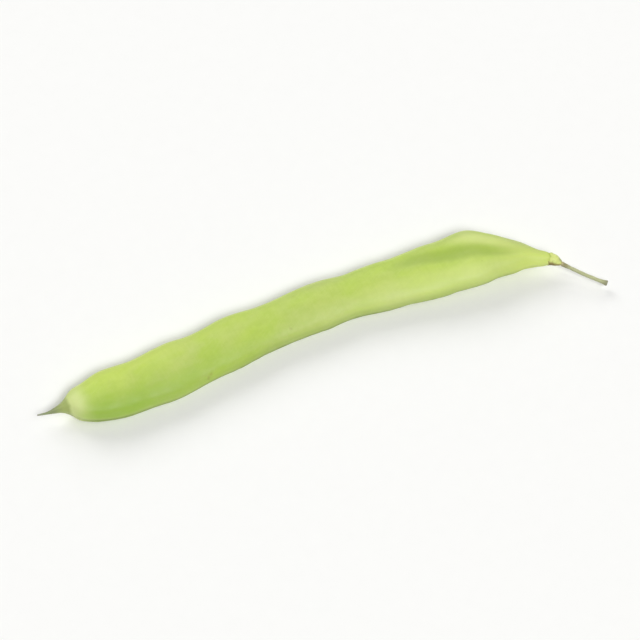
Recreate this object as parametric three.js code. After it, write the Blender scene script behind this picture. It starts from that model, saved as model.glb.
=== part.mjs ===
// A flat green bean pod of the ayse kadin kind, as picked, lying on one broad face.
// The beak points to -X and the stem end to +X. The seam that the seeds hang from runs along the
// straighter edge, on the -Y side, and the back seam along the fuller edge, on the +Y side.
// The pod, the withered calyx round its neck and the stalk are three separate solids.
// Millimetres, +Z up, origin under the middle of the whole pod, on the surface that it rests on.
import * as THREE from "three";

// The pod's two edges, seen from above, without seams and swellings. Each row is a cross-section,
// from [x, y] on the seed seam to [x, y] on the back seam. The beak's root is at x = 0.
const OUTLINE = [
  [[-8.1, -0.4], [-8.1, 0.0]], // tip of the beak
  [[-5.6, -0.9], [-5.6, -0.2]],
  [[-3.7, -1.3], [-3.7, 0.1]],
  [[-1.7, -1.8], [-1.7, 0.7]],
  [[0.2, -3.1], [0.0, 1.8]], // root of the beak
  [[2.4, -5.2], [2.0, 3.2]],
  [[5.6, -6.6], [5.2, 4.2]],
  [[10.5, -7.6], [10.5, 6.0]],
  [[18, -7.7], [18, 6.5]],
  [[27, -7.2], [27, 8.1]],
  [[37, -5.4], [37, 9.0]],
  [[48, -3.5], [48, 11.3]],
  [[60, -1.2], [60, 11.9]],
  [[72, 0.2], [72, 13.4]],
  [[84, 0.8], [84, 13.7]],
  [[97, -0.1], [97, 14.4]],
  [[109, -1.0], [109, 15.2]],
  [[118, -1.2], [119.2, 16.2]],
  [[123.5, -0.5], [125.6, 13.0]],
  [[128, -0.3], [130.2, 9.8]],
  [[131.8, -0.1], [134.2, 6.7]],
  [[134.8, -0.55], [137.0, 4.1]],
  [[137.4, -1.1], [139.1, 2.65]],
  [[139.3, -1.1], [140.6, 1.05]], // end of the neck, inside the calyx
];

// Cross-sections: nearly round where the pod is narrow, broad and flat where it is wide
const HALF_THICKNESS = 3.9; // that the broad stretch tends to
const FLATTENS = [1.6, 6]; // half widths between which a section goes from round to flat
const FULLNESS = 0.5; // how much fuller than an ellipse a flat section is
const BEAK_POINT = 0.15; // how far the beak's point stands out past the first section
const EDGE_WAVES = [
  { height: 0.12, length: 5.1, shift: 1 },
  { height: 0.1, length: 8.7, shift: 0 },
];

// How the pod lies. Each amount comes in or dies out over a stretch of the pod.
const REST_HEIGHT = 4.0; // of the broad stretch's middle, so that its swellings rest on the surface
const BEAK_LIFT = { height: 0.5, over: [0, 26] }; // the beak's end stands a little off the surface
const BEAK_DROOP = { height: 1.0, over: [-10, 3] }; // and its tip comes down again
const NECK_LIFT = { height: 0.95, over: [84, 122] };
const BEAK_TWIST = { degrees: -4, over: [0, 40] }; // against the broad stretch
const NECK_TWIST = { degrees: -9, over: [85, 125] };

// Seeds, which show as low swellings. None grew between the third and the fourth.
const SEEDS = [
  { x: 15, size: 1.09 },
  { x: 30.5, size: 1.12 },
  { x: 47, size: 0.88 },
  { x: 74.5, size: 0.91 },
  { x: 90, size: 1.14 },
  { x: 105, size: 1.05 },
  { x: 119, size: 0.84 },
];
const SEED_REACH = 5.4; // along the pod
const SEED_BREADTH = 4.6; // across it
const SEED_OFFSET = 0.7; // each seed sits a little to one side of the middle, turn about
const FACE_SWELL = 0.5;
const EDGE_SWELL = 0.36;
const MEAN_SWELLING = 0.5; // which the outline above already holds

// Seams: a groove between two low ridges, with a shallow furrow beside them
const SEED_SEAM = { spread: 0.76, ridge: 0.32, width: 0.4, groove: 0.26, furrow: 0.12 };
const BACK_SEAM = { spread: 0.5, ridge: 0.2, width: 0.34, groove: 0.18, furrow: 0.08 };
const FURROW_AT = 2.3; // from the seam's middle
const FURROW_WIDTH = 0.8;
const SEAM_GROWS = [1.4, 4.5]; // half widths between which the seams reach their full height
// Degrees by which the seed seam lies below the pod's edge, and the back seam above it
const SEAM_TURN = { start: 12, end: 19, over: [70, 115] };
const FACE_STARTS = 0.7; // sine of the angle, round from a seam, where a broad face is reached

// The long hollow in the upper face at the stem end, which starts by the back seam and
// crosses to the middle of the neck. Its places across are shares of the half width.
const HOLLOW_DEPTH = 1.0;
const HOLLOW_WIDTH = 0.33;
const HOLLOW_STARTS_AT = 0.45;
const HOLLOW_ENDS_AT = -0.1;
const HOLLOW_CROSSES = [97, 127];
const HOLLOW_DEEPENS = [88, 106];
const HOLLOW_FADES = [126, 138];

// Calyx and stalk. Distances run along the stalk's line, from the end of the pod's neck.
const CUP_FLOOR = 0.12; // where the cup's floor is, just clear of the neck
const CUP_CLEARANCE = 0.12;
const CUP_WALL = 0.24;
const CUP_FLARE = 0.4;
const CUP_FLOOR_RINGS = [0.5, 0.96]; // shares of the cup's inner radius
const RIM_BACK = 0.7; // how far the rim reaches back along the neck
// The cup's wall, up the inside, over the rim and down the outside. Each row is the share of the way
// through the wall, and the share of the way from the floor to the rim.
const CUP_PROFILE = [[0, 0.35], [0, 0.7], [0.15, 1], [0.5, 1.05], [0.85, 1], [1, 0.7], [1, 0.35]];
const TOOTH_LENGTHS = [0.3, 0.25, 0.4, 0.2, 0.35]; // from the back seam's side, up and round
const TOOTH_FLARE = 0.25;
const RECEPTACLE_LENGTH = 2.6;
const JOINT_RADIUS = 0.66;
const STALK_GAP = 0.05;
const STALK_RADIUS = 0.5;
const STALK_TIP = new THREE.Vector3(152.5, -10.7, 2.4);
const STALK_TIP_WAY = new THREE.Vector3(0.83, -0.56, -0.12).normalize();
const STALK_ROOT_REACH = 0.7; // how far the line runs straight on before it bends
const STALK_TIP_REACH = 6;
const STALK_ROOT_FLARE = 1.7; // length over which it narrows from the calyx
const STALK_RIBS = 5;
const STALK_RIB_HEIGHT = 0.04;
const SCAR_RADIUS = 0.76; // the swollen joint where the stalk came off the plant
const SCAR_LENGTH = 0.95;
const SCAR_BACK = 0.24; // its thickest place, from the stalk's end

// Mesh fineness
const STEP_ALONG = 1.5;
const POINTS_ROUND = 44;
const BUNCHING = 0.62; // how closely the points round a section gather at the two seams
const CALYX_POINTS_ROUND = 40;
const CONE_STEPS = 8;
const STALK_POINTS_ROUND = 20;
const STALK_STEPS = 32;

const UP = new THREE.Vector3(0, 0, 1);
const { degToRad, lerp, smoothstep } = THREE.MathUtils;

const bell = (x, width) => Math.exp(-((x / width) ** 2));
const signedPower = (x, power) => Math.sign(x) * Math.abs(x) ** power;

// Joins rings of points, each with the same number of points, and closes both ends on a point.
function loft(rings, startPoint, endPoint) {
  const round = rings[0].length;
  const points = [startPoint, ...rings.flat(), endPoint];
  const last = points.length - 1;
  const faces = [];
  for (let j = 0; j < round; j++) {
    const k = (j + 1) % round;
    faces.push(0, 1 + k, 1 + j);
    for (let i = 0; i < rings.length - 1; i++) {
      const here = 1 + i * round;
      const next = here + round;
      faces.push(here + j, here + k, next + j);
      faces.push(here + k, next + k, next + j);
    }
    faces.push(last, last - round + j, last - round + k);
  }
  const geometry = new THREE.BufferGeometry().setFromPoints(points);
  geometry.setIndex(faces);
  geometry.computeVertexNormals();
  return geometry;
}

// The pod

const edgePoints = (side) => OUTLINE.map((row) => new THREE.Vector2(...row[side]));
const seedEdge = new THREE.SplineCurve(edgePoints(0));
const backEdge = new THREE.SplineCurve(edgePoints(1));

const seeds = SEEDS.map((seed, i) => ({ ...seed, side: i % 2 ? SEED_OFFSET : -SEED_OFFSET }));

// Shares that an amount has come in by, or has yet to die out by, at a place along the pod
const comeIn = (x, amount) => smoothstep(x, ...amount.over);
const leftOf = (x, amount) => 1 - comeIn(x, amount);

// Height that a seam adds to the skin, at a distance from the seam's own line.
function seamHeight(seam, distance) {
  const ridges = bell(distance - seam.spread, seam.width) + bell(distance + seam.spread, seam.width);
  const groove = bell(distance, seam.width);
  const furrow = bell(distance - FURROW_AT, FURROW_WIDTH);
  return seam.ridge * ridges - seam.groove * groove - seam.furrow * furrow;
}

// Everything about the cross-section at a share of the way from the beak's tip to the neck's end.
function sectionAt(share) {
  const low = seedEdge.getPoint(share);
  const high = backEdge.getPoint(share);
  const middle = low.clone().lerp(high, 0.5);
  const x = middle.x;
  const plainHalfWidth = low.distanceTo(high) / 2;
  const flatness = smoothstep(plainHalfWidth, ...FLATTENS);
  const swelling = seeds.reduce((sum, seed) => sum + seed.size * bell(x - seed.x, SEED_REACH), 0);
  const waves = EDGE_WAVES.reduce(
    (sum, wave) => sum + wave.height * Math.sin(x / wave.length + wave.shift),
    0,
  );
  const halfWidth = plainHalfWidth + flatness * (EDGE_SWELL * (swelling - MEAN_SWELLING) + waves);
  const lift = BEAK_LIFT.height * leftOf(x, BEAK_LIFT) + NECK_LIFT.height * comeIn(x, NECK_LIFT);
  const droop = BEAK_DROOP.height * leftOf(x, BEAK_DROOP);
  const twist = BEAK_TWIST.degrees * leftOf(x, BEAK_TWIST) + NECK_TWIST.degrees * comeIn(x, NECK_TWIST);
  return {
    x,
    middle: new THREE.Vector3(x, middle.y, REST_HEIGHT + lift - droop),
    across: new THREE.Vector3(high.x - low.x, high.y - low.y, 0).normalize(),
    twist: degToRad(twist),
    seamTurn: degToRad(lerp(SEAM_TURN.start, SEAM_TURN.end, comeIn(x, SEAM_TURN))),
    flatness,
    halfWidth,
    halfThickness: HALF_THICKNESS * Math.tanh(halfWidth / HALF_THICKNESS),
    power: 2 / (2 + FULLNESS * flatness),
  };
}

// How far a broad face stands out over the plain section, from the seeds and, above, the hollow.
function faceSwell(section, side, isUpper) {
  const { x, halfWidth, flatness } = section;
  const swell = seeds.reduce(
    (sum, seed) => sum + seed.size * bell(x - seed.x, SEED_REACH) * bell(side - seed.side, SEED_BREADTH),
    0,
  );
  const hollowAt = lerp(HOLLOW_STARTS_AT, HOLLOW_ENDS_AT, smoothstep(x, ...HOLLOW_CROSSES));
  const deepness = smoothstep(x, ...HOLLOW_DEEPENS) * (1 - smoothstep(x, ...HOLLOW_FADES));
  const hollow = isUpper ? deepness * bell(side / halfWidth - hollowAt, HOLLOW_WIDTH) : 0;
  return flatness * (FACE_SWELL * swell - HOLLOW_DEPTH * hollow);
}

// The skin's point at an angle round a section, counted from the back seam.
function skinPoint(section, fromBackSeam) {
  const { halfWidth, halfThickness, power, twist, seamTurn, middle, across } = section;
  const angle = fromBackSeam + seamTurn;
  const plainSide = halfWidth * signedPower(Math.cos(angle), power);
  const plainHeight = halfThickness * signedPower(Math.sin(angle), power);
  const isBack = plainSide > 0;
  const seam = isBack ? BACK_SEAM : SEED_SEAM;
  const facing = isBack ? 1 : -1;
  const seamSide = facing * halfWidth * signedPower(Math.cos(seamTurn), power);
  const seamUp = facing * halfThickness * signedPower(Math.sin(seamTurn), power);
  const fromSeam = Math.hypot(plainSide - seamSide, plainHeight - seamUp);
  const seamRise = smoothstep(halfWidth, ...SEAM_GROWS) * seamHeight(seam, fromSeam);
  const outward = new THREE.Vector2(Math.cos(angle) / halfWidth, Math.sin(angle) / halfThickness);
  outward.normalize();
  const overFace = smoothstep(Math.abs(Math.sin(angle)), 0, FACE_STARTS);
  const isUpper = plainHeight > 0;
  const faceRise = overFace * faceSwell(section, plainSide, isUpper);
  const side = plainSide + outward.x * seamRise;
  const height = plainHeight + outward.y * seamRise + (isUpper ? faceRise : -faceRise);
  const point = middle
    .clone()
    .addScaledVector(across, side * Math.cos(twist) - height * Math.sin(twist))
    .addScaledVector(UP, side * Math.sin(twist) + height * Math.cos(twist));
  point.z = Math.max(point.z, 0); // flat where the swellings rest on the surface
  return point;
}

// Angles from the back seam round to the back seam again, closer together at both seams.
const sectionAngles = Array.from({ length: POINTS_ROUND }, (_, j) => {
  const turn = (2 * j) / POINTS_ROUND;
  return Math.PI * turn - (BUNCHING / 2) * Math.sin(2 * Math.PI * turn);
});

// Shares of the way along the pod, about STEP_ALONG apart, at least two to each stretch of the outline.
function sectionShares() {
  const stretches = OUTLINE.length - 1;
  const shares = [];
  for (let i = 0; i < stretches; i++) {
    const length = OUTLINE[i + 1][0][0] - OUTLINE[i][0][0];
    const steps = Math.max(2, Math.round(length / STEP_ALONG));
    for (let k = 0; k < steps; k++) shares.push((i + k / steps) / stretches);
  }
  shares.push(1);
  return shares;
}

function podGeometry() {
  const rings = sectionShares().map((share) => {
    const section = sectionAt(share);
    return sectionAngles.map((angle) => skinPoint(section, angle));
  });
  const tip = sectionAt(0).middle.clone();
  tip.x -= BEAK_POINT;
  const neckEnd = sectionAt(1).middle;
  return loft(rings, tip, neckEnd);
}

// The line that the calyx and the stalk follow, out of the neck and bent towards the seed seam

const neck = sectionAt(1);
const neckWay = new THREE.Vector3().crossVectors(neck.across, UP).normalize();
const stalkRoot = neck.middle.clone().addScaledVector(neckWay, CUP_FLOOR);
const stalkLine = new THREE.CubicBezierCurve3(
  stalkRoot,
  stalkRoot.clone().addScaledVector(neckWay, STALK_ROOT_REACH),
  STALK_TIP.clone().addScaledVector(STALK_TIP_WAY, -STALK_TIP_REACH),
  STALK_TIP,
);
const stalkLength = stalkLine.getLength();

// A ring round the stalk's line. Negative distances lie on the pod's neck.
// shapeAt gives the radius at an angle, and how far the ring is pushed back there.
function ringAt(distance, shapeAt, points) {
  const share = Math.max(distance, 0) / stalkLength;
  const way = stalkLine.getTangentAt(share);
  const middle = stalkLine.getPointAt(share).addScaledVector(way, Math.min(distance, 0));
  const sideways = new THREE.Vector3().crossVectors(way, UP).normalize();
  const upwards = new THREE.Vector3().crossVectors(sideways, way);
  return Array.from({ length: points }, (_, j) => {
    const angle = (2 * Math.PI * j) / points;
    const { radius, back = 0 } = shapeAt(angle);
    return middle
      .clone()
      .addScaledVector(sideways, -radius * Math.cos(angle))
      .addScaledVector(upwards, radius * Math.sin(angle))
      .addScaledVector(way, -back);
  });
}

function ringCentre(ring) {
  const sum = new THREE.Vector3();
  for (const point of ring) sum.add(point);
  return sum.divideScalar(ring.length);
}

// The calyx: a shallow cup with short dry teeth, on a fleshy cone that narrows to the stalk

function toothAt(angle) {
  const turn = (angle / (2 * Math.PI)) * TOOTH_LENGTHS.length;
  const nearest = Math.round(turn);
  return TOOTH_LENGTHS[nearest % TOOTH_LENGTHS.length] * Math.cos(Math.PI * (turn - nearest)) ** 2;
}

function calyxGeometry() {
  const inside = neck.halfWidth + CUP_CLEARANCE;
  const outside = inside + CUP_WALL;
  const ring = (distance, shapeAt) => ringAt(distance, shapeAt, CALYX_POINTS_ROUND);
  const round = (radius) => () => ({ radius });
  // a ring on the cup's wall, at a share of the way from its floor to its rim
  const wall = (radius, share) => {
    const shapeAt = (angle) => {
      const tooth = toothAt(angle);
      return { radius: radius + share * CUP_FLARE + share ** 2 * TOOTH_FLARE * tooth, back: share * tooth };
    };
    return ring(-share * RIM_BACK, shapeAt);
  };
  const rings = [
    ...CUP_FLOOR_RINGS.map((share) => ring(0, round(inside * share))),
    ...CUP_PROFILE.map(([through, share]) => wall(inside + CUP_WALL * through, share)),
  ];
  // the cone, rounded where it leaves the cup and narrowing to the stalk
  for (let i = 0; i <= CONE_STEPS; i++) {
    const share = i / CONE_STEPS;
    const radius = lerp(JOINT_RADIUS, outside, Math.cos((Math.PI / 2) * share));
    rings.push(ring(RECEPTACLE_LENGTH * share, round(radius)));
  }
  return loft(rings, ringCentre(rings[0]), ringCentre(rings.at(-1)));
}

// The stalk: a thin ribbed stem, swollen at the calyx and at the scar where it came off the plant

function stalkRadius(distance) {
  const root = (JOINT_RADIUS - STALK_RADIUS) * bell(distance - RECEPTACLE_LENGTH, STALK_ROOT_FLARE);
  const fromScar = stalkLength - SCAR_BACK - distance;
  const scar = (SCAR_RADIUS - STALK_RADIUS) * bell(fromScar, SCAR_LENGTH);
  return STALK_RADIUS + root + scar;
}

function stalkGeometry() {
  const start = RECEPTACLE_LENGTH + STALK_GAP;
  const rings = [];
  for (let i = 0; i <= STALK_STEPS; i++) {
    const distance = lerp(start, stalkLength, i / STALK_STEPS);
    const radius = stalkRadius(distance);
    const ribbed = (angle) => ({ radius: radius + STALK_RIB_HEIGHT * Math.cos(STALK_RIBS * angle) });
    rings.push(ringAt(distance, ribbed, STALK_POINTS_ROUND));
  }
  return loft(rings, ringCentre(rings[0]), ringCentre(rings.at(-1)));
}

// The whole, moved so that the origin is under the middle of it

function piece(name, geometry, color, roughness) {
  const material = new THREE.MeshStandardMaterial({ color, roughness, metalness: 0 });
  const mesh = new THREE.Mesh(geometry, material);
  mesh.name = name;
  return mesh;
}

const bean = new THREE.Group();
bean.add(
  piece("pod", podGeometry(), 0xc4d976, 0.5),
  piece("calyx", calyxGeometry(), 0xa7a866, 0.75),
  piece("stalk", stalkGeometry(), 0xc3d08c, 0.6),
);
const middleOfAll = new THREE.Box3().setFromObject(bean, true).getCenter(new THREE.Vector3());
bean.position.set(-middleOfAll.x, -middleOfAll.y, 0);

export default bean;
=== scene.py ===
"""One flat green bean pod, as picked, lying on one broad face on a pale floor.

The pod, its calyx and its stalk are built again, finer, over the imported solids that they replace.
Sizes are in millimetres, measured in the pod's own plan: x runs along the pod from the beak's root
to the stem end, y across it towards the back seam, z up. MM turns them into the frame's metres.
"""
import math

import bpy
import numpy as np
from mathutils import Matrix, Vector


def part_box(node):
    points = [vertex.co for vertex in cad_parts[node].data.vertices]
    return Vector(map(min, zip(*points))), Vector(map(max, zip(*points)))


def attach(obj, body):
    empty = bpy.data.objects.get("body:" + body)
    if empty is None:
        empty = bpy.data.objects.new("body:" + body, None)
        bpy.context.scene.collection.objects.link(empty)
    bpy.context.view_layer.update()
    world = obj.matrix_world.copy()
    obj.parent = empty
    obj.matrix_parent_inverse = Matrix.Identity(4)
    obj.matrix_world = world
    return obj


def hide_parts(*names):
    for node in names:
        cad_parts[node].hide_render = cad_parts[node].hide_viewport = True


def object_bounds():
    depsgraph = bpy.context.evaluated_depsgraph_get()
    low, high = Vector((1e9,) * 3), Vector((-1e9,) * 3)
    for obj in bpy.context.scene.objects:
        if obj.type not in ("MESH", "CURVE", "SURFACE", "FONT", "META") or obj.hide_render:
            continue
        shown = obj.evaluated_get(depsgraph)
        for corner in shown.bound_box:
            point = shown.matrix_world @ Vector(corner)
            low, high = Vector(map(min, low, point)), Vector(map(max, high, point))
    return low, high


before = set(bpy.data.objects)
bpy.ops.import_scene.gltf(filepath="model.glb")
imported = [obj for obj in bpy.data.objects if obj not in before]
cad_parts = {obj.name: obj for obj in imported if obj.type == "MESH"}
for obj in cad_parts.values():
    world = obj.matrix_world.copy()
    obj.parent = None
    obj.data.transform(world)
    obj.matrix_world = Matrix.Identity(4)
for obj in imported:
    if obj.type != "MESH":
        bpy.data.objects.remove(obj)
cad_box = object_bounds()

MM = 0.001
UP = np.array([0.0, 0.0, 1.0])

# The pod's two edges, seen from above, without seams and swellings. Each row is a cross-section,
# from (x, y) on the seed seam to (x, y) on the back seam.
OUTLINE = np.array([
    [(-8.1, -0.4), (-8.1, 0.0)],  # tip of the beak
    [(-5.6, -0.9), (-5.6, -0.2)],
    [(-3.7, -1.3), (-3.7, 0.1)],
    [(-1.7, -1.8), (-1.7, 0.7)],
    [(0.2, -3.1), (0.0, 1.8)],  # root of the beak
    [(2.4, -5.2), (2.0, 3.2)],
    [(5.6, -6.6), (5.2, 4.2)],
    [(10.5, -7.6), (10.5, 6.0)],
    [(18, -7.7), (18, 6.5)],
    [(27, -7.2), (27, 8.1)],
    [(37, -5.4), (37, 9.0)],
    [(48, -3.5), (48, 11.3)],
    [(60, -1.2), (60, 11.9)],
    [(72, 0.2), (72, 13.4)],
    [(84, 0.8), (84, 13.7)],
    [(97, -0.1), (97, 14.4)],
    [(109, -1.0), (109, 15.2)],
    [(118, -1.2), (119.2, 16.2)],
    [(123.5, -0.5), (125.6, 13.0)],
    [(128, -0.3), (130.2, 9.8)],
    [(131.8, -0.1), (134.2, 6.7)],
    [(134.8, -0.55), (137.0, 4.1)],
    [(137.4, -1.1), (139.1, 2.65)],
    [(139.3, -1.1), (140.6, 1.05)],  # end of the neck, inside the calyx
])

# Cross-sections: nearly round where the pod is narrow, broad and flat where it is wide
HALF_THICKNESS = 3.9
FLATTENS = (1.6, 6)
FULLNESS = 0.5
BEAK_POINT = 0.15
EDGE_WAVES = [(0.12, 5.1, 1), (0.1, 8.7, 0)]  # height, length, shift

# How the pod lies: an amount, and the stretch of the pod that it comes in or dies out over
REST_HEIGHT = 4.0
BEAK_LIFT = (0.5, (0, 26))
BEAK_DROOP = (1.0, (-10, 3))
NECK_LIFT = (0.95, (84, 122))
BEAK_TWIST = (-4, (0, 40))  # degrees
NECK_TWIST = (-9, (85, 125))

# Seeds: place along the pod, and size
SEEDS = [(15, 1.09), (30.5, 1.12), (47, 0.88), (74.5, 0.91), (90, 1.14), (105, 1.05), (119, 0.84)]
SEED_REACH = 5.4
SEED_BREADTH = 4.6
SEED_OFFSET = 0.7
FACE_SWELL = 0.5
EDGE_SWELL = 0.36
MEAN_SWELLING = 0.5

# Seams: a groove between two low ridges, with a shallow furrow beside them
SEED_SEAM = {"spread": 0.76, "ridge": 0.32, "width": 0.4, "groove": 0.26, "furrow": 0.12}
BACK_SEAM = {"spread": 0.5, "ridge": 0.2, "width": 0.34, "groove": 0.18, "furrow": 0.08}
FURROW_AT = 2.3
FURROW_WIDTH = 0.8
SEAM_GROWS = (1.4, 4.5)
SEAM_TURN = (12, 19, (70, 115))  # degrees: the seed seam lies below the edge, the back seam above it
SEAM_BEADS = 0.05  # share of the seams' height
SEAM_BEAD_LENGTH = 3.2
FACE_STARTS = 0.7

# The long hollow in the upper face at the stem end. It slants across the face, and its breadth and its
# place across are shares of the half width.
HOLLOW_DEPTH = 1.0
HOLLOW_WIDTH = 0.33
HOLLOW_STARTS_AT = 0.45
HOLLOW_ENDS_AT = -0.1
HOLLOW_CROSSES = (97, 127)
HOLLOW_DEEPENS = (88, 106)
HOLLOW_FADES = (126, 138)

# Painted highlights beside the hollow: place beside the hollow's middle, strength, and the stretch of
# the pod that they come in over
HIGHLIGHTS_BY_HOLLOW = [(-0.75, 0.4, (58, 100)), (0.5, 1, (108, 122))]
HIGHLIGHT_WIDTH = 0.32
HIGHLIGHTS_FADE = (128, 140)

# Fine relief of the skin
UNEVEN_HEIGHT = 0.06
UNEVEN_LENGTH = 8
EDGE_EVENNESS = 0.25  # share of the unevenness that is left at the pod's edges
VEIN_HEIGHT = 0.016
VEIN_WIDTH = 0.42
VEIN_SPACING = 3.1
VEIN_SLANT = math.radians(52)
VEIN_BEND = 0.9
VEIN_BEND_LENGTH = 11
VEIN_PATCH_LENGTH = 7
VEINS_COME_IN = (2, 4)  # away from the seam
BEAK_WRINKLES = (0.07, (-3, 2.5))
NECK_WRINKLES = (0.05, (127, 137))
WRINKLES_ROUND = 7
WRINKLE_WANDER = 0.8
WRINKLE_LENGTH = 6

# Blemishes on the upper face: place along the pod, distance from the seed seam, size and strength
BLEMISHES = [(38, 2.2, 0.55, 1), (38.9, 3.0, 0.4, 0.5), (63.5, 4.6, 0.35, 0.45)]

# Calyx: a thin cup round the neck, and a cone under it. Distances run along the stalk's line, from the
# end of the pod's neck.
CUP_FLOOR = 0.12
CUP_CLEARANCE = 0.12
CUP_WALL = 0.24
CUP_FLARE = 0.3
RIM_BACK = 0.7
RIM_THINNING = 0.55
RIM_PRESSED = 0.15  # the thin rim lies nearer the pod, by a share of the wall that is gone
RIM_ROUNDNESS = 0.05
RIM_TURN = 0.3  # radians that the rim's round leaves out at each end
RIM_JAGS = 0.11
RIM_JAG_LENGTH = 1 / 3  # of the cup's radius
TOOTH_LENGTHS = [0.3, 0.25, 0.4, 0.2, 0.35]  # from the back seam's side, up and round
TOOTH_FLARE = 0.12
CRUMPLE_HEIGHT = 0.05
CRUMPLE_LENGTH = 0.9
CRUMPLE_SPREAD = (2.4, 1.5)  # round the cup, and along it
CALYX_RIBS = 10
CALYX_RIB_HEIGHT = 0.03
RECEPTACLE_LENGTH = 2.6
CONE_LUMPS = 0.03
CONE_LUMP_LENGTH = 1.2
CONE_LUMP_SPREAD = 2
COLLAR_HEIGHT = 0.06
COLLAR_WIDTH = 0.3

# The calyx is brown along its lower front, at its teeth and at the stalk, and grey on its upper back.
# the brown along the lower front is partly withered skin and partly painted shade under the cup
WITHERED_AND_SHADED_SIDE = math.radians(186)
WITHERED_AND_SHADED_REACH = math.radians(35)
WITHERED_AND_SHADED_BROWNING = 1.1
CONE_FRESHNESS = 0.35
TOOTH_DRYNESS = 0.2
JOINT_DRYNESS = 0.3
JOINT_DRIES = (0.7, 1)
GREY_SIDE = math.radians(66)
GREY_REACH = math.radians(38)
GREY_COMES_IN = (0.2, 0.8)

# Stalk
STALK_GAP = 0.05
STALK_RADIUS = 0.5
STALK_TIP = np.array([152.5, -10.7, 2.4])
STALK_TIP_WAY = np.array([0.83, -0.56, -0.12])
STALK_ROOT_REACH = 0.7
STALK_TIP_REACH = 6
STALK_ROOT_FLARE = 1.7
STALK_SUNK = 0.3  # the fine stalk starts inside the calyx, and the crease between them is drawn in
STALK_RIBS = 5
STALK_RIB_HEIGHT = 0.04
STALK_LUMPS = 0.018
STALK_LUMP_LENGTH = 2.6
JOINT_RADIUS = 0.66
CREASE_DEPTH = 0.07
CREASE_WIDTH = 0.14
SCAR_RADIUS = 0.76
SCAR_LENGTH = 0.95
SCAR_BACK = 0.24
SCAR_HOLLOW = 0.08
SCAR_ROUGHNESS = 0.055
SCAR_LUMP_LENGTH = 0.45 / 1.3  # of the scar's radius
SCAR_MARK = 1  # added to the scar's place along the stalk, so that it is all brown

# Mesh fineness
POD_STEP = 0.3
LEAST_STEPS = 6
POD_ROUND = 144
BUNCHING = 0.62
BEAK_POINT_TURNS = [78, 60, 40, 20]  # degrees
CALYX_ROUND = 160
CUP_FLOOR_RINGS = 8
CUP_INSIDE_RINGS = 16
RIM_RINGS = 7
CUP_OUTSIDE_RINGS = 20
CONE_RINGS = 50
STALK_ROUND = 60
STALK_STEPS = 150
SCAR_RINGS = 9
LINE_STEPS = 2000
WAVE_COUNT = 18

# Slants of the painted fibres and streaks
FIBRE_SLANT = math.radians(32)
CROSS_SLANT = math.radians(8)

# Camera, floor and light, in metres and degrees. Azimuth 0 is on the -Y side, and elevation is above level.
PHOTO_AZIMUTH = -18.4  # that the photograph was taken at; the pod lies off the middle of it
PHOTO_ELEVATION = 58
CAMERA_AZIMUTH = -24.5  # of the same camera, seen from the pod
CAMERA_ELEVATION = 61.2
CAMERA_DISTANCE = 0.590
CAMERA_LENS = 122
SENSOR_WIDTH = 36
FLOOR_SIZE = 30
FLOOR_GRAIN = 0.004
WORLD_STRENGTH = 0.15
LIGHTS = [  # name, azimuth, elevation, breadth, strength
    ("key", 0, 55, 25, 1.9),
    ("fill", 50, 55, 25, 0.5),
    ("back", -160, 36, 34, 1.26),
    ("rim", 160, 28, 25, 0.42),
]


# Shape helpers

def smoothstep(x, low, high):
    share = np.clip((x - low) / (high - low), 0, 1)
    return share * share * (3 - 2 * share)


def bell(x, width):
    return np.exp(-((x / width) ** 2))


def signed_power(x, power):
    return np.sign(x) * np.abs(x) ** power


def lerp(a, b, share):
    return a + (b - a) * share


def unit(v):
    return v / np.linalg.norm(v, axis=-1, keepdims=True)


def come_in(x, amount):
    return amount[0] * smoothstep(x, *amount[1])


def die_out(x, amount):
    return amount[0] - come_in(x, amount)


def spline(points, share):
    """Points on the uniform Catmull-Rom curve through points, at shares of the way along."""
    place = share * (len(points) - 1)
    i = np.minimum(place.astype(int), len(points) - 2)
    w = (place - i)[:, None]
    p0, p1 = points[np.maximum(i - 1, 0)], points[i]
    p2, p3 = points[i + 1], points[np.minimum(i + 2, len(points) - 1)]
    v0, v1 = (p2 - p0) / 2, (p3 - p1) / 2
    return (2 * p1 - 2 * p2 + v0 + v1) * w**3 + (3 * p2 - 3 * p1 - 2 * v0 - v1) * w**2 + v0 * w + p1


def waves(points, length, seed):
    """Smooth noise of about unit height, from plane waves of about one length."""
    draw = np.random.default_rng(seed)
    total = np.zeros(points.shape[:-1])
    for _ in range(WAVE_COUNT):
        way = unit(draw.normal(size=points.shape[-1]))
        pace = 2 * math.pi / (length * draw.uniform(0.7, 1.5))
        total += np.sin(points @ way * pace + draw.uniform(0, 2 * math.pi))
    return total / math.sqrt(WAVE_COUNT / 2)


# The pod's form

def sections(share):
    """The cross-sections at shares of the way from the beak's tip to the neck's end."""
    low = spline(OUTLINE[:, 0], share)
    high = spline(OUTLINE[:, 1], share)
    middle = (low + high) / 2
    x = middle[:, 0]
    plain_half_width = np.linalg.norm(high - low, axis=1) / 2
    flatness = smoothstep(plain_half_width, *FLATTENS)
    swelling = sum(size * bell(x - at, SEED_REACH) for at, size in SEEDS)
    wave = sum(height * np.sin(x / length + shift) for height, length, shift in EDGE_WAVES)
    half_width = plain_half_width + flatness * (EDGE_SWELL * (swelling - MEAN_SWELLING) + wave)
    lift = die_out(x, BEAK_LIFT) + come_in(x, NECK_LIFT) - die_out(x, BEAK_DROOP)
    return {
        "x": x,
        "middle": np.column_stack([middle, REST_HEIGHT + lift]),
        "across": np.column_stack([unit(high - low), np.zeros(len(x))]),
        "twist": np.radians(die_out(x, BEAK_TWIST) + come_in(x, NECK_TWIST)),
        "seam_turn": np.radians(lerp(SEAM_TURN[0], SEAM_TURN[1], smoothstep(x, *SEAM_TURN[2]))),
        "flatness": flatness,
        "half_width": half_width,
        "half_thickness": HALF_THICKNESS * np.tanh(half_width / HALF_THICKNESS),
        "power": 2 / (2 + FULLNESS * flatness),
    }


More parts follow.
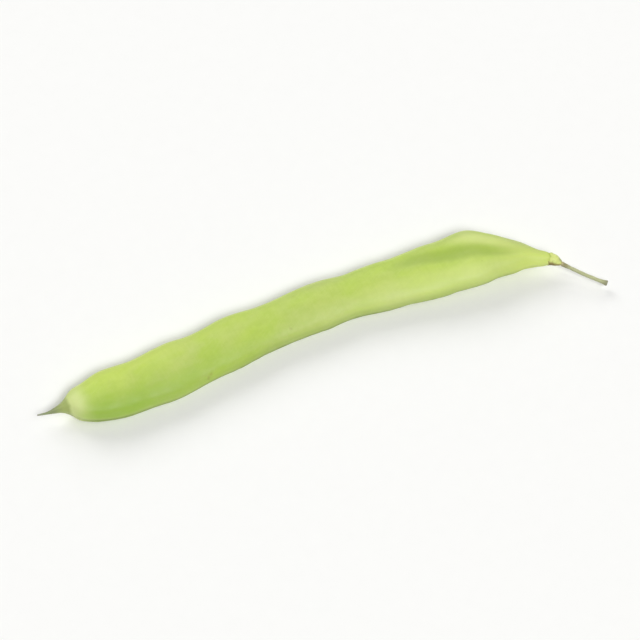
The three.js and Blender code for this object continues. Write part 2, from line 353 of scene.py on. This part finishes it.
def seam_height(seam, distance):
    ridges = bell(distance - seam["spread"], seam["width"]) + bell(distance + seam["spread"], seam["width"])
    groove = bell(distance, seam["width"])
    furrow = bell(distance - FURROW_AT, FURROW_WIDTH)
    return seam["ridge"] * ridges - seam["groove"] * groove - seam["furrow"] * furrow


def seed_swell(x, side):
    total = 0
    for i, (at, size) in enumerate(SEEDS):
        offset = SEED_OFFSET if i % 2 else -SEED_OFFSET
        total = total + size * bell(x - at, SEED_REACH) * bell(side - offset, SEED_BREADTH)
    return total


def hollow_middle(x):
    return lerp(HOLLOW_STARTS_AT, HOLLOW_ENDS_AT, smoothstep(x, *HOLLOW_CROSSES))


def hollow_depth(x, side, half_width):
    deepness = smoothstep(x, *HOLLOW_DEEPENS) * (1 - smoothstep(x, *HOLLOW_FADES))
    return deepness * bell(side / half_width - hollow_middle(x), HOLLOW_WIDTH)


def hollow_highlights(x, side, half_width):
    """How strong the painted highlight is on either side of the hollow."""
    beside = side / half_width - hollow_middle(x)
    total = 0
    for at, strength, stretch in HIGHLIGHTS_BY_HOLLOW:
        total = total + come_in(x, (strength, stretch)) * bell(beside - at, HIGHLIGHT_WIDTH)
    return total * (1 - smoothstep(x, *HIGHLIGHTS_FADE))


def veins(x, side):
    """Faint raised veins that run slantwise over the broad faces."""
    plane = np.stack([x, side], axis=-1)
    bend = VEIN_BEND * waves(plane, VEIN_BEND_LENGTH, seed=5)
    across = x * math.cos(VEIN_SLANT) + side * math.sin(VEIN_SLANT) + bend
    line = np.abs(((across / VEIN_SPACING) % 1) - 0.5) * VEIN_SPACING
    strength = np.clip(0.6 + 0.5 * waves(plane, VEIN_PATCH_LENGTH, seed=6), 0, 1)
    return strength * bell(line, VEIN_WIDTH)


def blemishes(x, from_seam):
    return sum(much * bell(np.hypot(x - at, from_seam - off), size) for at, off, size, much in BLEMISHES)


def skin_points(section, angle):
    """The skin at every section and angle, with what the material needs to know there."""
    column = {k: v[:, None] for k, v in section.items() if v.ndim == 1}
    x, half_width, half_thickness = column["x"], column["half_width"], column["half_thickness"]
    flatness, seam_turn = column["flatness"], column["seam_turn"]
    angle = angle + seam_turn
    plain_side = half_width * signed_power(np.cos(angle), column["power"])
    plain_height = half_thickness * signed_power(np.sin(angle), column["power"])
    is_upper = plain_height > 0
    is_back = plain_side > 0
    seam_side = half_width * np.cos(seam_turn) ** column["power"]
    seam_up = half_thickness * np.sin(seam_turn) ** column["power"]
    facing = np.where(is_back, 1, -1)
    from_seam = np.hypot(seam_side - facing * plain_side, seam_up - facing * plain_height)
    place = np.stack([x + 0 * plain_side, plain_side, plain_height], axis=-1)

    # what stands out from the plain section: the seams, and the fine relief
    over_face = smoothstep(np.abs(np.sin(angle)), 0, FACE_STARTS)
    beads = 1 + SEAM_BEADS * waves(place, SEAM_BEAD_LENGTH, seed=2)
    seam_rise = np.where(is_back, seam_height(BACK_SEAM, from_seam), seam_height(SEED_SEAM, from_seam))
    unevenness = UNEVEN_HEIGHT * lerp(EDGE_EVENNESS, 1, over_face) * waves(place, UNEVEN_LENGTH, seed=1)
    vein_rise = VEIN_HEIGHT * veins(place[..., 0], plain_side) * smoothstep(from_seam, *VEINS_COME_IN)
    wrinkle = np.sin(WRINKLES_ROUND * angle + WRINKLE_WANDER * waves(place, WRINKLE_LENGTH, seed=3))
    wrinkled = die_out(x, BEAK_WRINKLES) * np.minimum(half_width, 1) + come_in(x, NECK_WRINKLES)
    rise = seam_rise * beads * smoothstep(half_width, *SEAM_GROWS)
    rise = rise + flatness * (unevenness + vein_rise) + wrinkle * wrinkled

    # what raises or lowers the broad faces
    swell = seed_swell(x, plain_side)
    hollow = np.where(is_upper, hollow_depth(x, plain_side, half_width), 0)
    face_rise = over_face * flatness * (FACE_SWELL * swell - HOLLOW_DEPTH * hollow)

    outward = unit(np.stack([np.cos(angle) / half_width, np.sin(angle) / half_thickness], axis=-1))
    side = plain_side + outward[..., 0] * rise
    height = plain_height + outward[..., 1] * rise + np.where(is_upper, face_rise, -face_rise)
    cos, sin = np.cos(column["twist"]), np.sin(column["twist"])
    points = (
        section["middle"][:, None]
        + section["across"][:, None] * (side * cos - height * sin)[..., None]
        + UP * (side * sin + height * cos)[..., None]
    )
    points[..., 2] = np.maximum(points[..., 2], 0)
    marks = {
        "along": x + 0 * plain_side,
        "from_seam": from_seam,
        "side": plain_side,
        "seed": np.clip(swell, 0, 1) * flatness,
        "breadth": half_width + 0 * plain_side,
        "hollow": hollow,
        "painted_highlight": hollow_highlights(x, plain_side, half_width) * is_upper,
        "blemish": blemishes(x, from_seam) * is_upper * ~is_back,
        "grain": place,
    }
    return points, marks


def section_shares():
    shares = []
    stretches = len(OUTLINE) - 1
    for i in range(stretches):
        length = OUTLINE[i + 1, 0, 0] - OUTLINE[i, 0, 0]
        steps = max(LEAST_STEPS, round(length / POD_STEP))
        shares += [(i + k / steps) / stretches for k in range(steps)]
    return np.array(shares + [1.0])


def section_angles():
    """Angles round a cross-section, closer together towards the seams."""
    turn = 2 * np.arange(POD_ROUND) / POD_ROUND
    return math.pi * turn - BUNCHING / 2 * np.sin(2 * math.pi * turn)


# The pod's mesh

def plan_shift():
    """From the plan's millimetres to the frame: the beak's point is at the pod's low end in x."""
    pod_low, pod_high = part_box("pod")
    section = sections(section_shares())
    points, _ = skin_points(section, section_angles())
    low_y, high_y = points[..., 1].min(), points[..., 1].max()
    return np.array([
        pod_low.x / MM - (section["middle"][0, 0] - BEAK_POINT),
        (pod_low.y + pod_high.y) / 2 / MM - (low_y + high_y) / 2,
        0,
    ])


SHIFT = plan_shift()


def loft(name, rings, start, end, marks):
    """A closed mesh through rings of points, with smooth faces and the marks as attributes."""
    count, around = rings.shape[:2]
    points = np.concatenate([[start], rings.reshape(-1, 3), [end]])
    i, j = np.meshgrid(np.arange(count - 1), np.arange(around), indexing="ij")
    k = (j + 1) % around
    quads = np.stack([i * around + j, i * around + k, (i + 1) * around + k, (i + 1) * around + j], -1)
    faces = (quads.reshape(-1, 4) + 1).tolist()
    last = len(points) - 1
    for a in range(around):
        b = (a + 1) % around
        faces.append([0, 1 + b, 1 + a])
        faces.append([last, last - around + a, last - around + b])
    mesh = bpy.data.meshes.new(name)
    mesh.from_pydata(((points + SHIFT) * MM).tolist(), [], faces)
    mesh.shade_smooth()
    for mark, values in marks.items():
        parts = values.reshape(count, around, -1)
        width = parts.shape[-1]
        flat = np.concatenate([[parts[0].mean(0)], parts.reshape(-1, width), [parts[-1].mean(0)]])
        kind, field = ("FLOAT", "value") if width == 1 else ("FLOAT_VECTOR", "vector")
        layer = mesh.attributes.new(mark, kind, "POINT")
        layer.data.foreach_set(field, flat.astype(np.float32).ravel())
    piece = bpy.data.objects.new(name, mesh)
    bpy.context.scene.collection.objects.link(piece)
    return piece


def make_pod():
    section = sections(section_shares())
    points, marks = skin_points(section, section_angles())
    first = section["middle"][0]
    # the beak's rounded point, from rings inside the first one
    turns = np.radians(BEAK_POINT_TURNS)[:, None, None]
    point = first + (points[0] - first) * np.cos(turns) - np.sin(turns) * [BEAK_POINT, 0, 0]
    points = np.concatenate([point, points])
    marks = {name: np.concatenate([[values[0]] * len(point), values]) for name, values in marks.items()}
    return loft("pod_skin", points, first - [BEAK_POINT, 0, 0], section["middle"][-1], marks)


# The stalk's line, out of the neck and bent towards the seed seam

neck_end = {k: v[0] for k, v in sections(np.array([1.0])).items()}
neck_way = unit(np.cross(neck_end["across"], UP))
stalk_root = neck_end["middle"] + neck_way * CUP_FLOOR
stalk_bezier = [
    stalk_root,
    stalk_root + neck_way * STALK_ROOT_REACH,
    STALK_TIP - unit(STALK_TIP_WAY) * STALK_TIP_REACH,
    STALK_TIP,
]


def bezier(t):
    a, b, c, d = stalk_bezier
    t = np.asarray(t)[..., None]
    point = a * (1 - t) ** 3 + 3 * b * t * (1 - t) ** 2 + 3 * c * t**2 * (1 - t) + d * t**3
    way = (b - a) * (1 - t) ** 2 + 2 * (c - b) * t * (1 - t) + (d - c) * t**2
    return point, unit(way)


line_shares = np.linspace(0, 1, LINE_STEPS + 1)
line_steps = np.linalg.norm(np.diff(bezier(line_shares)[0], axis=0), axis=1)
line_lengths = np.concatenate([[0], np.cumsum(line_steps)])
stalk_length = line_lengths[-1]


class Rings:
    """Rings of points round the stalk's line, with what the material needs to know there."""

    def __init__(self, around):
        self.angle = 2 * math.pi * np.arange(around) / around
        self.circle = np.column_stack([np.cos(self.angle), np.sin(self.angle)])
        self.rings = []
        self.marks = {}

    def places(self, radius, along):
        """Points round a ring for the waves to run over."""
        return np.column_stack([self.circle * radius, along + 0 * self.angle])

    def add(self, distance, radius, back=0, **marks):
        """Adds a ring, drawn back by back. Negative distances lie on the pod's neck."""
        middle, way = bezier(np.interp(max(distance, 0), line_lengths, line_shares))
        middle = middle + way * min(distance, 0)
        sideways = unit(np.cross(way, UP))
        upwards = np.cross(sideways, way)
        radius = np.reshape(radius + 0 * self.angle, (-1, 1))
        back = np.reshape(back + 0 * self.angle, (-1, 1))
        cos, sin = self.circle[:, :1], self.circle[:, 1:]
        self.rings.append(middle - sideways * radius * cos + upwards * radius * sin - way * back)
        marks = {name: value + 0 * self.angle for name, value in marks.items()}
        marks["grain"] = np.column_stack([distance - back, self.circle * radius])
        for name, values in marks.items():
            self.marks.setdefault(name, []).append(values)

    def lofted(self, name):
        rings = np.array(self.rings)
        marks = {mark: np.array(values) for mark, values in self.marks.items()}
        return loft(name, rings, rings[0].mean(0), rings[-1].mean(0), marks)


# The calyx and the stalk

def tooth_at(angle):
    turn = angle / (2 * math.pi) * len(TOOTH_LENGTHS)
    nearest = np.round(turn).astype(int)
    lengths = np.array(TOOTH_LENGTHS)[nearest % len(TOOTH_LENGTHS)]
    return lengths * np.cos(math.pi * (turn - nearest)) ** 2


def cup_wall_path():
    """Up the inside of the cup's wall, over its thin rim and down the outside.

    Each step is a share of the way through the wall, and a share of the way up it.
    """
    up = [(0.0, s) for s in np.linspace(0.12, 1.0, CUP_INSIDE_RINGS)]
    turns = np.linspace(RIM_TURN, math.pi - RIM_TURN, RIM_RINGS)
    rim = [(0.5 - 0.5 * math.cos(t), 1 + RIM_ROUNDNESS * math.sin(t)) for t in turns]
    down = [(1.0, s) for s in np.linspace(1.0, 0.02, CUP_OUTSIDE_RINGS)]
    return up + rim + down


def make_calyx():
    rings = Rings(CALYX_ROUND)
    inside = neck_end["half_width"] + CUP_CLEARANCE
    outside = inside + CUP_WALL
    tooth = tooth_at(rings.angle)
    jagged = RIM_JAGS * waves(rings.circle, RIM_JAG_LENGTH, seed=11)
    ribs = CALYX_RIB_HEIGHT * np.cos(CALYX_RIBS * rings.angle)
    # brown along the lower front: withered, and painted shade under the cup
    withered_and_shaded = bell(rings.angle - WITHERED_AND_SHADED_SIDE, WITHERED_AND_SHADED_REACH)
    grey = bell(rings.angle - GREY_SIDE, GREY_REACH)

    for share in np.linspace(0.1, 0.96, CUP_FLOOR_RINGS):
        rings.add(0, inside * share, dryness=0, greyness=0)

    for through, share in cup_wall_path():
        thickness = 1 - RIM_THINNING * share**2
        wall = 0.5 + (through - 0.5) * thickness - RIM_PRESSED * (1 - thickness)
        places = rings.places(CRUMPLE_SPREAD[0], CRUMPLE_SPREAD[1] * share)
        crumple = CRUMPLE_HEIGHT * share * waves(places, CRUMPLE_LENGTH, seed=12)
        radius = inside + CUP_WALL * wall + CUP_FLARE * share + TOOTH_FLARE * share**2 * tooth
        radius = radius + crumple + ribs * through
        edge = share**3 * (tooth + jagged * smoothstep(share, 0.5, 1))
        dry = TOOTH_DRYNESS * share**2 * tooth + WITHERED_AND_SHADED_BROWNING * withered_and_shaded
        rings.add(-share * RIM_BACK, radius, edge, dryness=dry, greyness=0)

    for share in np.linspace(0, 1.05, CONE_RINGS):
        quarter = math.pi / 2 * min(share, 1)
        plain = lerp(JOINT_RADIUS, outside, math.cos(quarter))
        lumps = CONE_LUMPS * waves(rings.places(plain, CONE_LUMP_SPREAD * share), CONE_LUMP_LENGTH, seed=13)
        from_joint = RECEPTACLE_LENGTH * (share - 1)
        collar = COLLAR_HEIGHT * bell(from_joint + COLLAR_WIDTH, COLLAR_WIDTH)
        crease = 2 * CREASE_DEPTH * smoothstep(from_joint, -CREASE_WIDTH, CREASE_WIDTH)
        radius = plain + ribs * math.cos(quarter) + lumps * math.sin(2 * quarter) + collar - crease
        dry = JOINT_DRYNESS * smoothstep(share, *JOINT_DRIES)
        dry = dry + (WITHERED_AND_SHADED_BROWNING - CONE_FRESHNESS * share) * withered_and_shaded
        greying = smoothstep(share, *GREY_COMES_IN) * grey
        rings.add(RECEPTACLE_LENGTH * share, radius, dryness=dry, greyness=greying)
    return rings.lofted("calyx_cup")


def stalk_radius(distance):
    root = (JOINT_RADIUS - STALK_RADIUS) * bell(distance - RECEPTACLE_LENGTH, STALK_ROOT_FLARE)
    from_scar = stalk_length - SCAR_BACK - distance
    return STALK_RADIUS + root + (SCAR_RADIUS - STALK_RADIUS) * bell(from_scar, SCAR_LENGTH)


def make_stalk():
    rings = Rings(STALK_ROUND)
    start = RECEPTACLE_LENGTH + STALK_GAP
    ribs = STALK_RIB_HEIGHT * np.cos(STALK_RIBS * rings.angle)

    for distance in np.linspace(start - STALK_SUNK, stalk_length, STALK_STEPS + 1):
        lumps = STALK_LUMPS * waves(rings.places(STALK_RADIUS, distance), STALK_LUMP_LENGTH, seed=21)
        from_root = distance - start
        crease = 2 * CREASE_DEPTH * (1 - smoothstep(from_root, -CREASE_WIDTH, 2 * CREASE_WIDTH))
        radius = stalk_radius(distance) - crease + (ribs + lumps) * smoothstep(from_root, 0, 1)
        rings.add(distance, radius, from_root=from_root)

    # the broken end: a rough, slightly hollow face
    for share in np.linspace(0.94, 0.12, SCAR_RINGS):
        lumps = waves(rings.places(share, 0), SCAR_LUMP_LENGTH, seed=22)
        hollow = SCAR_HOLLOW + SCAR_ROUGHNESS * lumps * (1 - share**4)
        radius = stalk_radius(stalk_length) * share
        rings.add(stalk_length, radius, np.maximum(hollow, 0), from_root=stalk_length - start + SCAR_MARK)
    return rings.lofted("stalk_stem")


# Materials

def linear(code):
    """A colour as the shader needs it, from its usual hexadecimal code."""
    parts = [int(code[i:i + 2], 16) / 255 for i in (0, 2, 4)]
    return [p / 12.92 if p <= 0.04045 else ((p + 0.055) / 1.055) ** 2.4 for p in parts] + [1]


class Paint:
    """A material's nodes, with one short call for each kind that the materials share.

    Patterns follow the grain mark: millimetres along the piece, and across it both ways. Every colour
    covers those before it by a share between 0 and 1, and is given by its hexadecimal code.
    """

    def __init__(self, name):
        self.material = bpy.data.materials.new(name)
        self.material.use_nodes = True
        self.tree = self.material.node_tree
        self.shader = self.tree.nodes["Principled BSDF"]
        self.place = self.node("Attribute", attribute_name="grain").outputs["Vector"]
        self.colour = None

    def node(self, kind, **settings):
        made = self.tree.nodes.new("ShaderNode" + kind)
        for name, value in settings.items():
            setattr(made, name, value)
        return made

    def put(self, socket, value):
        """Links value into the socket if it is another socket, and sets it otherwise."""
        if isinstance(value, bpy.types.NodeSocket):
            self.tree.links.new(value, socket)
        elif isinstance(value, str):
            socket.default_value = linear(value)
        else:
            socket.default_value = value

    def mark(self, name):
        return self.node("Attribute", attribute_name=name).outputs["Fac"]

    def math(self, operation, a, b):
        made = self.node("Math", operation=operation)
        self.put(made.inputs[0], a)
        self.put(made.inputs[1], b)
        return made.outputs[0]

    def times(self, product, *values):
        for value in values:
            product = self.math("MULTIPLY", product, value)
        return product

    def ramp(self, value, low, high, start=0.0, end=1.0):
        """Goes smoothly from start to end as value goes from low to high."""
        made = self.node("MapRange", interpolation_type="SMOOTHSTEP")
        inputs = {"Value": value, "From Min": low, "From Max": high, "To Min": start, "To Max": end}
        for name, x in inputs.items():
            self.put(made.inputs[name], x)
        return made.outputs[0]

    def scaled_place(self, size, stretch, slant):
        """The place, in units of size millimetres, times stretch along each axis, turned about Z."""
        made = self.node("Mapping", vector_type="TEXTURE")
        self.put(made.inputs["Vector"], self.place)
        self.put(made.inputs["Rotation"], (0, 0, slant))
        self.put(made.inputs["Scale"], [size * s for s in stretch])
        return made.outputs[0]

    def noise(self, size, detail, stretch=(1, 1, 1), rough=0.5, slant=0.0):
        """Noise whose lumps are about size millimetres across."""
        made = self.node("TexNoise")
        self.put(made.inputs["Vector"], self.scaled_place(size, stretch, slant))
        self.put(made.inputs["Scale"], 1.0)
        self.put(made.inputs["Detail"], detail)
        self.put(made.inputs["Roughness"], rough)
        return made.outputs["Fac"]

    def dots(self, spacing):
        """The distance from dots about spacing millimetres apart, as a share of the spacing."""
        made = self.node("TexVoronoi", feature="F1")
        self.put(made.inputs["Vector"], self.scaled_place(spacing, (1, 1, 1), 0))
        self.put(made.inputs["Scale"], 1.0)
        return made.outputs["Distance"]

    def unevenly(self, value, size, amount, detail=3):
        """A value that wanders by about amount to either side."""
        wander = self.math("SUBTRACT", self.noise(size, detail), 0.5)
        return self.math("ADD", value, self.times(wander, 4 * amount))

    def mix(self, share, a, b):
        made = self.node("Mix", data_type="RGBA")
        for socket, value in zip([made.inputs[0], made.inputs[6], made.inputs[7]], [share, a, b]):
            self.put(socket, value)
        return made.outputs[2]

    def cover(self, share, colour):
        self.colour = self.mix(share, self.colour, colour)

    def bump(self, height, depth, normal=None):
        """Bump whose height goes over depth millimetres."""
        made = self.node("Bump")
        self.put(made.inputs["Height"], height)
        self.put(made.inputs["Strength"], 1.0)
        self.put(made.inputs["Distance"], depth * MM)
        if normal is not None:
            self.put(made.inputs["Normal"], normal)
        return made.outputs[0]

    def finish(self, roughness, normal, **settings):
        self.put(self.shader.inputs["Base Color"], self.colour)
        self.put(self.shader.inputs["Roughness"], roughness)
        self.put(self.shader.inputs["Normal"], normal)
        for name, value in settings.items():
            self.put(self.shader.inputs[name.replace("_", " ")], value)
        return self.material


# In the paint functions, place and along run along the pod, side and across from its middle towards the
# back seam, both in the plan's millimetres. Place and across wander a little, for soft uneven limits.

def paint_skin(paint, fibres):
    """Broad patches of fresh and greyish green, paler over the seeds, with fine mottling and streaks."""
    patches = paint.ramp(paint.noise(14, 2, (1.6, 1, 1)), 0.38, 0.62)
    paint.colour = paint.mix(patches, "b9d158", "bacb6e")
    paint.cover(paint.ramp(paint.noise(7, 2, (1.8, 1, 1)), 0.5, 0.7, 0, 0.6), "b0cc49")
    paint.cover(paint.ramp(paint.mark("seed"), 0.15, 0.9, 0, 0.3), "c4d36c")
    paint.cover(paint.ramp(paint.noise(1.6, 4, (1.8, 1, 1), 0.6), 0.35, 0.7, 0, 0.3), "a6c04c")
    paint.cover(paint.ramp(fibres, 0.45, 0.72, 0, 0.14), "c8d582")
    streaks = paint.noise(0.9, 3, (1, 7, 1), 0.6, CROSS_SLANT)
    paint.cover(paint.ramp(streaks, 0.4, 0.7, 0, 0.2), "a8c24a")


def paint_flanks(paint, place, across):
    """Yellower at the back; at the seed seam, deeper green by the beak, partly painted shade, and paler by
    the stem, partly a painted highlight.
    """
    yellow = paint.times(paint.ramp(place, 8, 75, 1, 0), paint.ramp(across, 0, 6, 0, 0.5))
    paint.cover(yellow, "cfe15c")
    # partly painted shade: deeper green on the seed side's flank at the beak end
    deep = paint.times(
        paint.ramp(place, 6, 48, 1, 0.35),
        paint.ramp(place, 42, 78, 1, 0),
        paint.ramp(across, -6.5, 1.5, 0.8, 0),
    )
    paint.cover(deep, "8fb33c")
    # partly a painted highlight: paler skin on the seed side's flank towards the stem
    pale = paint.times(
        paint.ramp(place, 50, 100, 0, 0.5),
        paint.ramp(place, 114, 134, 1, 0),
        paint.ramp(across, -7, 0, 1, 0),
    )
    paint.cover(pale, "dbe696")


def paint_seams(paint, along, place, side):
    """Deeper green close to the seed seam, partly painted shade, and pale ridges along both, with an olive
    groove between.
    """
    from_seam = paint.mark("from_seam")
    # partly painted shade: deeper green towards the seed seam's edge, partly the skin's own deeper green
    rim = paint.times(
        paint.ramp(place, 30, 55),
        paint.ramp(place, 106, 126, 1, 0.3),
        paint.ramp(side, -1, 0, 1, 0),
        paint.ramp(from_seam, 0.8, 3.8, 0.55, 0),
    )
    paint.cover(rim, "8fa548")
    seam_there = paint.ramp(paint.mark("breadth"), 1.2, 2.8)
    # the back seam's paler ridge is partly a painted highlight along its crest
    ridge_colour = paint.mix(paint.ramp(side, -1, 1), "bccb84", "d6e39a")
    ridge = paint.ramp(paint.unevenly(from_seam, 4, 0.25), 0.7, 1.7, 0.5, 0)
    paint.cover(paint.times(ridge, seam_there), ridge_colour)
    # the groove is broad at the seed seam, and at the back seam only on the neck; the broad part beyond the
    # groove itself is painted shade along the edge
    back_groove_edge = paint.ramp(along, 129, 134, 0.6, 1.6)
    groove_edge = paint.ramp(side, -1, 1, 1.4, back_groove_edge)
    groove = paint.ramp(from_seam, 0.2, groove_edge, 0.85, 0)
    paint.cover(paint.times(groove, seam_there), "7a8d40")


def paint_stem_end(paint, along, place, side):
    """Painted shade in the hollow, with painted highlights beside it, and a yellower neck, duller at the
    back.
    """
    # painted highlights on the skin on either side of the hollow
    paint.cover(paint.ramp(paint.mark("painted_highlight"), 0.1, 0.9, 0, 0.6), "d8e290")
    # painted shade: the hollow deeper green, where less light reaches
    paint.cover(paint.ramp(paint.mark("hollow"), 0.1, 1, 0, 0.6), "94ad46")
    paint.cover(paint.ramp(along, 121, 138, 0, 0.8), "d3e17a")
    dull = paint.times(
        paint.ramp(place, 122, 131),
        paint.ramp(place, 136, 140, 1, 0),
        paint.ramp(side, -1.5, 2, 0, 0.6),
    )
    paint.cover(dull, "afbf68")


def paint_beak(paint, along, across):
    """A pale patch at the beak's root, partly a painted highlight, and an olive beak with a dry grey tip.
    """
    place = paint.unevenly(along, 2.6, 0.35)
    # partly a painted highlight: the pale body end beside the beak's root
    painted_highlight = paint.times(
        paint.ramp(place, 2.0, 7.0, 0.8, 0),
        paint.ramp(across, -5, -2, 0.4, 1),
        paint.ramp(across, -1, 3, 1, 0.6),
    )
    paint.cover(painted_highlight, "d6e09a")
    paint.cover(paint.ramp(place, -0.3, 0.9, 0.95, 0), "a3b166")
    paint.cover(paint.ramp(place, -4.5, -0.8, 0.85, 0), "838d66")
    paint.cover(paint.ramp(place, -8.2, -5.6, 0.9, 0), "99988a")


def paint_blemishes(paint):
    """The blemishes, and a few small brown specks in patches."""
    blemish = paint.times(paint.mark("blemish"), paint.ramp(paint.noise(0.7, 3), 0.3, 0.6), 0.8)
    paint.cover(blemish, "8d8640")
    speck = paint.ramp(paint.dots(5.5), 0.02, 0.07, 1, 0)
    speck = paint.times(speck, paint.ramp(paint.noise(14, 1), 0.52, 0.66), 0.2)
    paint.cover(speck, "8f8a42")


def pod_material():
    paint = Paint("pod_skin")
    along, side = paint.mark("along"), paint.mark("side")
    place, across = paint.unevenly(along, 9, 3), paint.unevenly(side, 9, 0.8)
    fibres = paint.noise(0.5, 3, (7, 1, 1), 0.6, FIBRE_SLANT)
    paint_skin(paint, fibres)
    paint_flanks(paint, place, across)
    paint_seams(paint, along, place, side)
    paint_stem_end(paint, along, place, side)
    paint_beak(paint, along, across)
    paint_blemishes(paint)
    roughness = paint.ramp(paint.noise(3.0, 3), 0.3, 0.7, 0.47, 0.58)
    normal = paint.bump(paint.noise(0.55, 3, (2.2, 1, 1)), 0.015)
    normal = paint.bump(fibres, 0.02, normal)
    return paint.finish(
        roughness, normal,
        Subsurface_Weight=0.1,
        Subsurface_Radius=(0.6, 1.0, 0.25),
        Subsurface_Scale=1.2 * MM,
        Sheen_Weight=0.06,
        Sheen_Roughness=0.5,
        IOR=1.42,
    )


def calyx_material():
    paint = Paint("calyx")
    dry = paint.unevenly(paint.mark("dryness"), 0.7, 0.2, 4)
    grey = paint.unevenly(paint.mark("greyness"), 0.7, 0.1)
    fibre = paint.noise(0.12, 3, (8, 1, 1))
    paint.colour = paint.mix(paint.noise(0.9, 3), "e0ea8a", "cfdc76")
    paint.cover(paint.ramp(grey, 0.2, 0.9, 0, 0.8), "9aa272")
    # brown where the calyx is dry, and along its lower front painted shade as well
    paint.cover(paint.ramp(dry, 0.1, 0.6), "a5a056")
    paint.cover(paint.ramp(dry, 0.45, 1.05), "776331")
    paint.cover(paint.ramp(fibre, 0.45, 0.75, 0, 0.3), "b9b47c")
    normal = paint.bump(fibre, 0.05)
    normal = paint.bump(paint.noise(0.35, 3), 0.05, normal)
    return paint.finish(paint.ramp(dry, 0, 0.8, 0.5, 0.82), normal, Sheen_Weight=0.1)


def stalk_material():
    """Pale dull green, browner towards the calyx and greyer towards the brown scar."""
    paint = Paint("stalk")
    end = stalk_length - RECEPTACLE_LENGTH
    along = paint.unevenly(paint.mark("from_root"), 0.8, 0.4, 4)
    fibre = paint.noise(0.14, 3, (12, 1, 1), 0.6)
    paint.colour = paint.mix(paint.noise(1.4, 3, (3, 1, 1)), "adb27c", "bfc296")
    paint.cover(paint.ramp(fibre, 0.45, 0.7, 0, 0.5), "91965f")
    paint.cover(paint.ramp(along, end - 2.2, end - 0.2, 0, 0.85), "8b8b6c")
    paint.cover(paint.ramp(along, end - 0.4, end + 0.9, 0, 0.9), "6f6650")
    paint.cover(paint.ramp(along, 0.8, 3.4, 0.8, 0), "8a8153")
    # a pale tan ring at the joint, partly a painted highlight
    paint.cover(paint.ramp(along, 0.1, 0.8, 0.8, 0), "c2b68c")
    return paint.finish(0.58, paint.bump(fibre, 0.05), Sheen_Weight=0.1)


def floor_material():
    paint = Paint("floor")
    paint.place = paint.node("TexCoord").outputs["Object"]
    speckle = paint.noise(FLOOR_GRAIN, 2)
    paint.colour = paint.mix(speckle, "f3f3f1", "f5f5f3")
    return paint.finish(0.85, paint.bump(speckle, 0.01))


# The pieces

for piece, node, slot, material in [
    (make_pod(), "pod", "pod_skin", pod_material()),
    (make_calyx(), "calyx", "calyx", calyx_material()),
    (make_stalk(), "stalk", "stalk", stalk_material()),
]:
    piece.data.materials.append(material)
    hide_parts(node)
    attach(piece, "root")


# Floor, light and camera

def make_floor():
    half = FLOOR_SIZE / 2
    mesh = bpy.data.meshes.new("floor")
    corners = [(-half, -half, 0), (half, -half, 0), (half, half, 0), (-half, half, 0)]
    mesh.from_pydata(corners, [], [(0, 1, 2, 3)])
    mesh.materials.append(floor_material())
    floor = bpy.data.objects.new("floor", mesh)
    bpy.context.scene.collection.objects.link(floor)


def direction(azimuth, elevation):
    a, e = math.radians(azimuth), math.radians(elevation)
    return Vector((math.sin(a) * math.cos(e), -math.cos(a) * math.cos(e), math.sin(e)))


def add_object(name, data, place, turn):
    made = bpy.data.objects.new(name, data)
    made.location = place
    made.rotation_mode = "QUATERNION"
    made.rotation_quaternion = turn
    bpy.context.scene.collection.objects.link(made)
    return made


def add_light(name, azimuth, elevation, breadth, strength):
    """A soft, broad light, so far away that it lights the whole floor evenly."""
    light = bpy.data.lights.new(name, "SUN")
    light.angle = math.radians(breadth)
    light.energy = strength
    back = direction(azimuth, elevation)
    add_object(name, light, back, back.to_track_quat("Z", "Y"))


def add_world():
    world = bpy.data.worlds.new("studio")
    world.use_nodes = True
    background = world.node_tree.nodes["Background"]
    background.inputs["Color"].default_value = (1, 1, 1, 1)
    background.inputs["Strength"].default_value = WORLD_STRENGTH
    bpy.context.scene.world = world


def add_camera():
    """The photograph's camera, turned the shortest way to face the pod, which then slopes as there."""
    camera = bpy.data.cameras.new("camera")
    camera.lens = CAMERA_LENS
    camera.sensor_width = SENSOR_WIDTH
    photo_back = direction(PHOTO_AZIMUTH, PHOTO_ELEVATION)
    back = direction(CAMERA_AZIMUTH, CAMERA_ELEVATION)
    turn = photo_back.rotation_difference(back) @ photo_back.to_track_quat("Z", "Y")
    place = (cad_box[0] + cad_box[1]) / 2 + back * CAMERA_DISTANCE
    bpy.context.scene.camera = add_object("camera", camera, place, turn)


make_floor()
add_world()
for light in LIGHTS:
    add_light(*light)
add_camera()
bpy.context.scene.view_settings.view_transform = "Standard"
